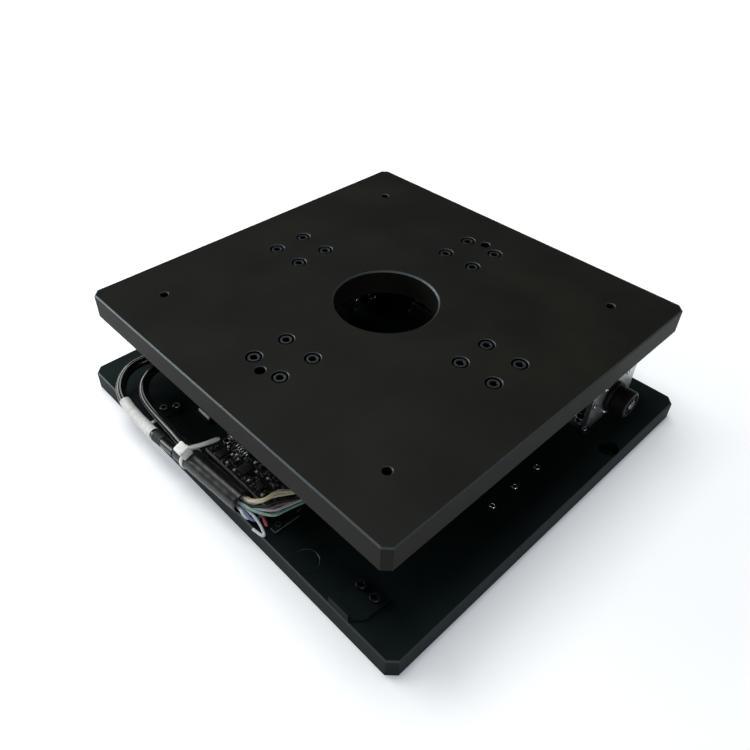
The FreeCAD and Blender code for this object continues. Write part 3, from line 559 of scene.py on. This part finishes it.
def makeGuide(unit, look):
    side = unitSide[unit]
    axle = driveOffset * side
    lines = [(axle - look["spread"], 5.2, 2.9), (axle + look["spread"], 5.2, 2.9)] if side else [(0, 12.7, 6.4)]
    railParts, blockParts = newParts(), newParts()
    for y, halfWidth, clear in lines:
        for x in (-look["railEnd"], look["railEnd"]):
            seat = spot(unit, x, y, look["railSeat"])
            capScrew(railParts, "stainless", seat, look["railScrew"], (0, 0, 1), look["sunk"], look["key"])
        for end in (-1, 1):
            start, thick = end * look["reach"], end * look["wiper"]
            wiper(blockParts["seal"], unit, start, y, halfWidth, 9.7, 14.3, clear, 12.4, thick)
            for across in (-halfWidth + 1.1, halfWidth - 1.1):
                seat = spot(unit, start + thick, y + across, 13.2)
                capScrew(blockParts, "stainless", seat, 1.3, heading(unit, end, 0, 0), 0.4, 0.6)
    finishPiece(f"{unit}RailScrews", railParts, "base")
    low, high = ((-18.5, 15.5) if side < 0 else (-15.5, 18.5)) if side else (-15.5, 15.5)
    reach, height = look["saddleScrew"]
    for x in (-reach, reach):
        for y in (low + 3, high - 3):
            capScrew(blockParts, "bolt", spot(unit, x, y, height), 4.0, (0, 0, 1), 1.5, 2.0)
    for y in (low + 2.6, high - 2.6):
        seat = spot(unit, 0, y, look["crossSeat"])
        capScrew(blockParts, "stainless", seat, look["railScrew"], (0, 0, 1), look["sunk"], look["key"])
    finishPiece(f"{unit}SaddleFixings", blockParts, f"{unit}_carriage")
    crossParts = newParts()
    for end in (-1, 1):
        start, thick = end * look["crossReach"], end * look["wiper"]
        wiper(crossParts["seal"], unit, start, 0, 10.6, 25.3, 29.8, 5.4, 27.9, thick, across=True)
    reach, height = look["housingScrew"]
    for x in (-reach, reach):
        for y in (-reach, reach):
            capScrew(crossParts, "stainless", spot(unit, x, y, height), 2.6, (0, 0, 1), 0.9, 1.2)
    ring = [(8.4, 37.52), (8.4, 37.68), (13.2, 37.68), (13.2, 37.52)]
    turned(crossParts["seal"], ring, spot(unit, 0, 0, 0), sides=48, closed=False)
    finishPiece(f"{unit}HousingFixings", crossParts, f"{unit}_cross")


makeTableBolts(tableBolt)
makeTapThreads(tapThread)
for unit in unitPlaces:
    makeGuide(unit, guideLook)
for unit in unitNames:
    makeLeadscrew(unit, leadscrew)
    makeKnob(unit, handKnob)
    makeDriveFixings(unit, driveFixings)
print("units dressed")


# cables from the driven unit on the left to the sheath, and on from there
def makeLine(name, points, width, finish, body):
    curve = bpy.data.curves.new(name, "CURVE")
    curve.dimensions = "3D"
    curve.bevel_depth = width / 2 * mm
    curve.bevel_resolution = 4
    curve.resolution_u = 10
    curve.use_fill_caps = True
    spline = curve.splines.new("NURBS")
    spline.points.add(len(points) - 1)
    for point, place in zip(spline.points, points):
        point.co = (*(Vector(place) * mm), 1)
    spline.order_u = 3
    spline.use_endpoint_u = True
    curve.materials.append(finishes[finish])
    piece = bpy.data.objects.new(name, curve)
    bpy.context.scene.collection.objects.link(piece)
    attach(piece, body)
    return piece


def routeOf(piece):
    bare = piece.copy()
    bare.data = piece.data.copy()
    bare.data.bevel_depth = 0
    bpy.context.scene.collection.objects.link(bare)
    mesh = bpy.data.meshes.new_from_object(bare.evaluated_get(bpy.context.evaluated_depsgraph_get()))
    points = [vert.co / mm for vert in mesh.vertices]
    bpy.data.meshes.remove(mesh)
    bpy.data.objects.remove(bare)
    return points


def swept(bm, route, profile, sides=20, wobble=0.0, closed=False):
    rings = []
    for distance, radius in profile:
        left = distance
        for start, end in zip(route, route[1:]):
            step = (end - start).length
            if left <= step or end is route[-1]:
                break
            left -= step
        way = (end - start).normalized()
        across = way.cross(Vector((0, 0, 1))).normalized()
        above = across.cross(way)
        middle = start + way * left
        ring = []
        for k in range(sides):
            angle = math.tau * k / sides
            ripple = math.sin(3 * angle + distance * 0.9) + math.sin(2 * angle - distance * 2.3)
            reach = radius * (1 + wobble * ripple / 2)
            ring.append(bm.verts.new(middle + (across * math.cos(angle) + above * math.sin(angle)) * reach))
        rings.append(ring)
    bridge(bm, rings, closed)


cableLook = {
    "outer": {
        "points": [(-60.6, 66.9, 18), (-66.5, 67.1, 18), (-74.5, 69.2, 17.3), (-81.3, 67.3, 15.6), (-85.9, 61.5, 13.6),
                   (-87, 53.5, 12.2), (-87, 45, 11.5), (-87, 36, 11.6), (-86.8, 27.5, 12.5), (-86.6, 20.1, 13.2)],
        "width": 4.2, "length": 70.3,
    },
    "inner": {
        "points": [(-60.6, 61.8, 17), (-66.3, 61.9, 16.9), (-72.3, 61.3, 16.3), (-77.2, 58.2, 15.2), (-80.1, 53.1, 13.9),
                   (-80.9, 46.5, 12.8), (-81.1, 39.5, 12.3), (-81.5, 32, 12.4), (-82.1, 25.5, 12.9),
                   (-82.4, 20.1, 13.2)],
        "width": 3.8, "length": 56.6,
    },
    "sleeve": (33, 55.5), "ribs": (57, 62.6), "ribPitch": 1.1,
}


def makeCables(look):
    routes = {}
    for line in ("outer", "inner"):
        points, width, length = (look[line][key] for key in ("points", "width", "length"))
        piece = makeLine(f"{line}Cable", points, width, "jacket", "base")
        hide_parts(f"cable_{line}")
        tuple(v * mm for v in points[0])
        routes[line] = routeOf(piece)
    # a blank sleeve and a ribbed boot on the outer cable, and a boot where each leaves the motor
    parts = newParts()
    start, end = look["sleeve"]
    swells = (2.18, 2.24, 2.2, 2.25, 2.19, 2.23, 2.25, 2.2, 2.18)
    sleeve = [(start, 2.14)] + [(start + (end - start) * k / 8, r) for k, r in enumerate(swells)] + [(end, 2.14)]
    swept(parts["paperSleeve"], routes["outer"], sleeve, 28, 0.03)
    start, end = look["ribs"]
    ribs = []
    for k in range(round((end - start) / look["ribPitch"])):
        foot = start + look["ribPitch"] * k
        ribs += [(foot, 2.12), (foot + 0.1, 2.38), (foot + 0.6, 2.38), (foot + 0.7, 2.12)]
    swept(parts["boot"], routes["outer"], ribs, 24)
    for line, r in (("outer", 2.1), ("inner", 1.9)):
        boot = [(0.0, r + 0.9), (1.2, r + 0.9), (1.6, r + 0.6), (5.5, r + 0.2), (5.6, r)]
        swept(parts["boot"], routes[line], boot, 24)
    finishPiece("cableSleeves", parts, "base")


makeCables(cableLook)

# shrunk sheath over both cables, slightly uneven, pinched a little where the tie holds it
sheathLook = {"back": (-84.6, 19.5, 13.2), "front": (-82.4, -15.4, 13.2), "radius": 4.1, "tieAlong": 13.8}


def makeSheath(look):
    parts = newParts()
    back, front = Vector(look["back"]), Vector(look["front"])
    long = (front - back).length
    r = look["radius"]
    tie = look["back"][1] - look["tieAlong"]
    profile = [(0.0, r - 1.4), (0.0, r - 0.12), (0.4, r)]
    steps = 30
    for k in range(1, steps):
        d = long * k / steps
        pinch = 0.16 * math.exp(-((d - tie) / 1.6) ** 2)
        profile.append((d, r - 0.05 - pinch + 0.03 * math.sin(d * 1.3) + 0.02 * math.sin(d * 0.47)))
    profile += [(long - 0.3, r), (long, r - 0.2), (long, r - 0.75), (long - 2.5, r - 0.8), (long - 2.5, 0.1)]
    swept(parts["shrink"], [back, front], profile, 48)
    piece = finishPiece("shrinkSheath", parts, "base", 50)
    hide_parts("cable_sheath")


makeSheath(sheathLook)

# nylon tie: band round the sheath, ratchet head up and outwards, the cut tail lying over to the board
tieLook = {"band": 1.5, "inner": 4.05, "outer": 4.5, "head": (4.2, 4.6, 4.6), "seat": 6.0, "tilt": -22,
           "drop": 1.1, "tail": (-71.4, 14.2, 14.0), "strap": 1.9, "sag": 0.4, "point": 0.9}


def makeTie(look):
    parts = newParts()
    bm = parts["nylon"]
    back, front = Vector(sheathLook["back"]), Vector(sheathLook["front"])
    along = (back - front).normalized()
    middle = back - along * ((back.y - sheathLook["tieAlong"]) / along.y)
    half, inner, outer = look["band"] / 2, look["inner"], look["outer"]
    outline = [(inner, -half), (outer - 0.15, -half), (outer, 0.2 - half), (outer, half - 0.2),
               (outer - 0.15, half), (inner, half)]
    rings = []
    for k in range(60):
        angle = math.tau * k / 60
        way = Vector((math.cos(angle), 0, math.sin(angle)))
        rings.append([bm.verts.new(middle + way * reach + along * across) for reach, across in outline])
    bridge(bm, rings + [rings[0]], closed=False)
    turn = Matrix.Rotation(math.radians(look["tilt"]), 3, "Y")
    out, side = turn @ Vector((0, 0, 1)), turn @ Vector((1, 0, 0))
    seat = middle + out * look["seat"]
    size = Vector(look["head"])
    block(bm, seat - size / 2, seat + size / 2, 0.55, turn)
    low = seat - out * look["drop"]
    mouth = Vector((0.5, 3.0, 1.6))
    block(bm, low + side * 2.1 - mouth / 2, low + side * 2.1 + mouth / 2, 0.15, turn)
    # tail: a thin strap from the head's mouth, toothed on its under side, cut to a point
    start, end = low + side * 1.9, Vector(look["tail"])
    way, long = (end - start).normalized(), (end - start).length
    across = (along - way * along.dot(way)).normalized()
    normal = way.cross(across).normalized()
    rings = []
    for k in range(45):
        t = k / 44
        half = look["strap"] / 2 * (1 if t < look["point"] else 1 - (t - look["point"]) * 5)
        centre = start + way * long * t - normal * math.sin(t * math.pi) * look["sag"]
        tooth = 0.1 if k % 2 else 0.0
        rings.append([bm.verts.new(centre + across * a + normal * b)
                      for a, b in ((-half, 0.25), (half, 0.25), (half, -0.25 - tooth), (-half, -0.25 - tooth))])
    bridge(bm, rings)
    piece = finishPiece("nylonTie", parts, "base", 40)
    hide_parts("cable_tie")


makeTie(tieLook)

# stranded leads from the sheath over the board's end to the socket under the table, and three slack ones
leadLook = {
    "width": 1.0,
    "leads": {
        "cream": ("cream", [(-81.8, -12.5, 15.0), (-81.8, -17.0, 15.6), (-81.2, -19.1, 16.1), (-78.7, -21.8, 16.4),
                            (-75.5, -22.0, 16.5), (-71.4, -23.4, 15.5), (-65.5, -25.5, 13.9), (-59.0, -26.6, 12.9)]),
        "yellow": ("yellow", [(-81.1, -12.5, 14.4), (-80.9, -17.0, 15.2), (-80.0, -19.4, 15.9), (-77.4, -22.0, 16.9),
                              (-74.0, -21.8, 17.2), (-70.0, -23.4, 16.1), (-65.3, -25.9, 14.5), (-59.0, -27.5, 13.0)]),
        "grey": ("grey", [(-82.4, -12.5, 14.4), (-82.0, -17.5, 14.9), (-80.4, -20.4, 15.6), (-76.7, -21.9, 16.4),
                          (-72.6, -22.0, 17.2), (-69.2, -23.2, 15.9), (-64.8, -26.3, 13.9), (-59.0, -28.3, 12.9)]),
        "black": ("black", [(-82.8, -12.5, 13.6), (-82.8, -17.4, 14.1), (-81.4, -20.4, 14.7), (-78.4, -23.3, 15.0),
                            (-75.4, -23.8, 15.3), (-71.2, -25.4, 14.5), (-65.6, -27.3, 12.5), (-59.0, -29.2, 12.4)]),
        "brown": ("brown", [(-81.4, -12.5, 13.4), (-81.4, -17.2, 13.8), (-80.6, -20.6, 13.9), (-78.0, -24.2, 14.1),
                            (-74.6, -25.0, 14.4), (-70.4, -26.0, 13.3), (-65.4, -26.7, 11.9), (-59.0, -27.2, 11.2)]),
        "teal": ("teal", [(-83.7, -12.5, 14.0), (-83.4, -17.4, 14.5), (-82.3, -21.0, 14.1), (-80.0, -24.6, 13.4),
                            (-77.4, -27.0, 12.7), (-73.2, -26.9, 12.0), (-66.6, -27.3, 10.5), (-59.0, -29.0, 10.2)]),
        "white": ("white", [(-83.0, -12.5, 13.2), (-82.7, -17.4, 13.9), (-81.4, -20.6, 14.2), (-79.0, -23.8, 13.9),
                          (-76.2, -25.5, 13.1), (-72.0, -26.0, 12.3), (-66.2, -26.5, 11.2), (-59.0, -28.0, 10.5)]),
        "whiteSlack": ("white", [(-83.4, -12.8, 12.8), (-83.2, -17.0, 13.0), (-82.7, -20.7, 12.5), (-82.6, -24.4, 10.9),
                                 (-83.0, -27.0, 9.3), (-83.6, -28.4, 8.8), (-84.2, -27.6, 8.7), (-84.5, -25.6, 8.7),
                                 (-84.8, -23.4, 8.7)]),
        "blueSlack": ("blue", [(-83.2, -12.8, 11.8), (-83.6, -17.4, 12.2), (-84.2, -19.2, 12.1), (-83.8, -21.8, 11.2),
                               (-82.2, -22.7, 10.3), (-80.0, -21.4, 9.8), (-76.3, -19.3, 9.8)]),
        "redSlack": ("red", [(-82.0, -12.8, 11.6), (-81.4, -17.5, 12.0), (-80.6, -21.0, 11.9), (-80.3, -23.3, 11.4),
                             (-80.9, -25.3, 10.5), (-81.1, -26.3, 9.9), (-80.6, -25.7, 9.6),
                             (-79.8, -23.6, 9.7), (-78.8, -21.4, 9.7)]),
        "stubSlack": ("white", [(-84.2, -12.8, 12.2), (-84.7, -17.0, 13.1), (-85.1, -18.6, 12.6), (-84.8, -20.2, 11.5),
                                (-83.7, -20.2, 10.4), (-82.4, -17.8, 9.9), (-82.0, -14.6, 9.5)]),
    },
}


def makeLeads(look):
    for name, (finish, points) in look["leads"].items():
        piece = makeLine(f"{name}Lead", points, look["width"], finish, "base")
        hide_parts("wire_bundle")


makeLeads(leadLook)
print("cables made")

# circuit board: fitted seeded, so every run gives the same small parts
boardLook = {
    "left": -77.1, "right": -66.3, "front": -25.0, "back": 15.0, "top": 12.2, "thick": 1.6,
    "seed": 11, "small": 58, "vias": 60,
    "chips": ((-74.3, 8.4, 4.4, 3.2, 1.2, 7, False), (-72.6, -3.6, 4.4, 4.0, 1.1, 7, False),
              (-73.6, -13.4, 3.0, 1.8, 1.1, 3, True)),
    "pale": ((-70.7, 9.7), (-71.9, 8.4), (-72.0, 5.6), (-70.9, 4.4), (-71.7, 2.3), (-68.1, -3.2), (-75.7, -1.0),
             (-75.6, 3.6),
             (-70.4, -7.0), (-74.9, -8.4), (-69.3, -12.2), (-75.4, -16.8), (-72.0, -19.3)),
    "socket": (-67.9, 1.1, -66.4, 14.3), "socketTall": 2.3, "screws": (-22, 12), "screwAcross": -69.6,
}


def chip(parts, x, y, long, wide, tall, pins, crosswise):
    z = boardLook["top"]
    a, b = (wide, long) if crosswise else (long, wide)
    block(parts["epoxy"], (x - a / 2, y - b / 2, z + 0.12), (x + a / 2, y + b / 2, z + tall), 0.08)
    for k in range(pins):
        at = (k - (pins - 1) / 2) * (long - 0.6) / max(pins - 1, 1)
        for side in (-1, 1):
            low = (at - 0.14, side * (wide / 2 - 0.02), z + 0.02)
            high = (at + 0.14, side * (wide / 2 + 0.75), z + 0.2)
            if crosswise:
                low, high = (low[1], low[0], low[2]), (high[1], high[0], high[2])
            block(parts["solder"], (x + min(low[0], high[0]), y + min(low[1], high[1]), low[2]),
                  (x + max(low[0], high[0]), y + max(low[1], high[1]), high[2]), 0.03)


def smallPart(parts, core, x, y, size, upright):
    z = boardLook["top"]
    long, wide, tall = size
    ends = long * 0.3
    a, b = (wide, long) if upright else (long, wide)
    c, d = (1, 0.5) if upright else (0.5, 1)
    block(parts[core], (x - a / 2 * c, y - b / 2 * d, z + 0.03), (x + a / 2 * c, y + b / 2 * d, z + tall), 0.03)
    ea, eb = (wide, ends) if upright else (ends, wide)
    for side in (-1, 1):
        px, py = (0, side * long * 0.4) if upright else (side * long * 0.4, 0)
        low = (x + px - ea / 2, y + py - eb / 2, z + 0.02)
        high = (x + px + ea / 2, y + py + eb / 2, z + tall + 0.02)
        block(parts["solder"], low, high, 0.03)


def makeBoardParts(look):
    parts = newParts()
    z, left, right, front, back = (look[key] for key in ("top", "left", "right", "front", "back"))
    chance = random.Random(look["seed"])
    taken = [(-69.6, -22, 3, 3), (-69.6, 12, 3, 3), (-76, -21, 1.6, 3.2), (-67.4, 7.7, 1.5, 7.3)]
    for x, y, long, wide, tall, pins, crosswise in look["chips"]:
        chip(parts, x, y, long, wide, tall, pins, crosswise)
        a, b = (wide + 1.6, long) if crosswise else (long, wide + 1.6)
        taken.append((x, y, a / 2 + 0.5, b / 2 + 0.5))
    for x, y in look["pale"]:
        block(parts["legend"], (x - 0.45, y - 0.35, z + 0.02), (x + 0.45, y + 0.35, z + 0.7), 0.12)
        taken.append((x, y, 1.0, 0.8))
    # long socket at the board's inner edge: dark body between two bright steel sides
    x0, y0, x1, y1 = look["socket"]
    tall = look["socketTall"]
    block(parts["epoxy"], (x0 + 0.15, y0, z), (x1 - 0.15, y1, z + tall - 0.3), 0.1)
    block(parts["stainless"], (x0, y0, z), (x0 + 0.3, y1, z + tall), 0.08)
    block(parts["stainless"], (x1 - 0.3, y0, z), (x1, y1, z + tall), 0.08)
    for k in range(8):
        y = y0 + 0.5 + 1.25 * k
        block(parts["solder"], (x0 - 0.7, y, z + 0.02), (x0 + 0.1, y + 0.4, z + 0.22), 0.03)
    made = 0
    while made < look["small"]:
        x = round(chance.uniform(left + 0.9, right - 0.7) / 0.45) * 0.45
        y = round(chance.uniform(front + 1.0, back - 1.0) / 0.9) * 0.9
        if any(abs(x - cx) < w and abs(y - cy) < h for cx, cy, w, h in taken):
            continue
        taken.append((x, y, 1.0, 0.75))
        made += 1
        upright = chance.random() < 0.5
        size = chance.choice(((1.0, 0.5, 0.4), (1.0, 0.5, 0.5), (1.6, 0.8, 0.6)))
        smallPart(parts, chance.choice(("epoxy", "ceramic", "epoxy")), x, y, size, upright)
    for k in range(look["vias"]):
        x, y = chance.uniform(left + 0.5, right - 0.4), chance.uniform(front + 0.6, back - 0.6)
        via = [(0.26, z - 0.02), (0.26, z + 0.04), (0.14, z + 0.04), (0.14, z - 0.02)]
        turned(parts["solder"], via, (x, y, 0), sides=10)
    for k in range(15):
        x, y, long = left + 0.9 + 0.62 * k, chance.uniform(-17, -4), chance.uniform(4, 12)
        block(parts["track"], (x, y, z - 0.03), (x + 0.22, y + long, z + 0.035), 0.01)
    # sawn edges of the laminate, pale against the mask
    block(parts["laminate"], (left - 0.06, front, z - look["thick"]), (left + 0.2, back, z + 0.03), 0.02)
    block(parts["laminate"], (left, front - 0.06, z - look["thick"]), (right, front + 0.1, z + 0.03), 0.02)
    for y in look["screws"]:
        capScrew(parts, "stainless", (look["screwAcross"], y, z), 3.0, (0, 0, 1), 1.4, 1.5)
    finishPiece("boardParts", parts, "base")


makeBoardParts(boardLook)

# small fixings on the base: three screws in front, clip and tray screws, cable clamp, blanking plug
baseFixings = {
    "top": 8.0, "grubs": ((8.7, -72), (-4.7, -72), (-17.3, -72)), "clip": ((-73, -63.8), (-73, -70)),
    "tray": ((-77.6, -28.2), (-68.6, -27.6), (-78.4, 13.6)), "clamp": ((-76.0, 46.5), (-71.6, 44.0)),
    "trayEdge": ((-80.4, -30.0), (-70.0, -27.4)), "plug": (-79.5, -44.7), "plugWidth": 9,
}


def makeBaseFixings(look):
    z = look["top"]
    parts = newParts()
    for x, y in look["grubs"]:
        capScrew(parts, "stainless", (x, y, z - 0.05), 2.4, (0, 0, 1), 0.75, 1.1)
    for x, y in look["clip"]:
        capScrew(parts, "oxide", (x, y, z + 1), 3.6, (0, 0, 1), 1.4, 1.6)
    for x, y in look["tray"]:
        capScrew(parts, "oxide", (x, y, z + 1), 2.4, (0, 0, 1), 0.8, 1.1)
    # painted highlight: thin grey strips along the folded tray's front and left edges stand in for the light those
    # edges catch
    (x0, y0), (x1, y1) = look["trayEdge"]
    block(parts["paintedEdgeHighlight"], (x0 - 0.04, y0 - 0.04, z + 0.78), (x1, y0 + 0.2, z + 1.04), 0.05)
    block(parts["paintedEdgeHighlight"], (x0 - 0.04, y0 - 0.04, z + 0.78), (x0 + 0.2, y1, z + 1.04), 0.05)
    # flush plug in a spare hole: only the 45 degree slope inside its rim catches the light, helped by the base finish's
    # painted edge highlight
    r = look["plugWidth"] / 2
    plug = [(r + 0.1, z - 0.05), (r + 0.1, z + 0.15), (r - 0.05, z), (0.5, z + 0.02)]
    turned(parts["base"], plug, (*look["plug"], 0), sides=48)
    # clamp by the inner cable with its two screws and pale strip, and a pale bar near the table's edge
    block(parts["base"], (-78.0, 42.2, z), (-69.8, 48.2, z + 0.9), 0.2)
    block(parts["nylon"], (-83.2, 43.2, z + 0.02), (-76.5, 44.6, z + 0.5), 0.15)
    for x, y in look["clamp"]:
        capScrew(parts, "stainless", (x, y, z + 0.9), 3.0, (0, 0, 1), 1.4, 1.5)
    block(parts["base"], (-67.8, 28.5, z), (-65.2, 37.5, z + 0.8), 0.2)
    block(parts["nylon"], (-66.3, 29.6, z + 0.8), (-65.8, 36.4, z + 2.2), 0.12)
    finishPiece("baseFixings", parts, "base")


makeBaseFixings(baseFixings)
print("small parts made")


# pale floor that glows more with distance, so that the background stays white and the shadow near the part stays
floorLook = {"colour": "f2f2f0", "glow": "e6f2ff", "near": 0.25, "far": 1.0, "fade": (0.5, 1.6), "reach": 6.0}


def makeFloor(look):
    bpy.ops.mesh.primitive_plane_add(size=look["reach"])
    floor = bpy.context.object
    floor.name = "floor"
    material, tree, shader, place = newMaterial("paleFloor", {"Roughness": 0.9, "Specular IOR Level": 0.1})
    shader.inputs["Base Color"].default_value = linear(look["colour"])
    path = addNode(tree, "LightPath")
    seen = addNode(tree, "Math", {0: path.outputs["Is Camera Ray"], 1: path.outputs["Is Glossy Ray"]}, operation="ADD")
    through = addNode(tree, "Math", {0: seen.outputs[0], 1: path.outputs["Is Transmission Ray"]},
                      operation="ADD", use_clamp=True)
    away = addNode(tree, "VectorMath", {0: place}, operation="LENGTH").outputs["Value"]
    (low, high), near, far = look["fade"], look["near"], look["far"]
    lift = addNode(tree, "MapRange", {"Value": away, "From Min": low, "From Max": high, "To Min": near, "To Max": far})
    strength = addNode(tree, "Math", {0: through.outputs[0], 1: lift.outputs["Result"]}, operation="MULTIPLY")
    shader.inputs["Emission Color"].default_value = linear(look["glow"])
    tree.links.new(strength.outputs[0], shader.inputs["Emission Strength"])
    floor.data.materials.append(material)


def makeLamp(name, place, aim, size, power):
    lamp = bpy.data.lights.new(name, "AREA")
    lamp.shape = "RECTANGLE"
    lamp.size, lamp.size_y = size
    lamp.energy = power
    holder = bpy.data.objects.new(name, lamp)
    holder.location = place
    holder.rotation_euler = (Vector(aim) - Vector(place)).to_track_quat("-Z", "Y").to_euler()
    bpy.context.scene.collection.objects.link(holder)


lampLook = {
    "overhead": {"place": (0.1, 0.45, 1.5), "size": (1.1, 1.1), "power": 22},
    "left": {"place": (-0.55, 1.12, 0.46), "size": (1.2, 0.5), "power": 11},
    "front": {"place": (-0.5, -1.1, 0.3), "size": (0.5, 0.4), "power": 1.9},
}
makeFloor(floorLook)
for name, look in lampLook.items():
    makeLamp(name, look["place"], (0, 0, 0.03), look["size"], look["power"])
world = bpy.data.worlds.new("studio")
world.use_nodes = True
world.node_tree.nodes["Background"].inputs["Color"].default_value = (0.9, 0.95, 1.0, 1)
world.node_tree.nodes["Background"].inputs["Strength"].default_value = 0.12
bpy.context.scene.world = world
bpy.context.scene.view_settings.view_transform = "Standard"
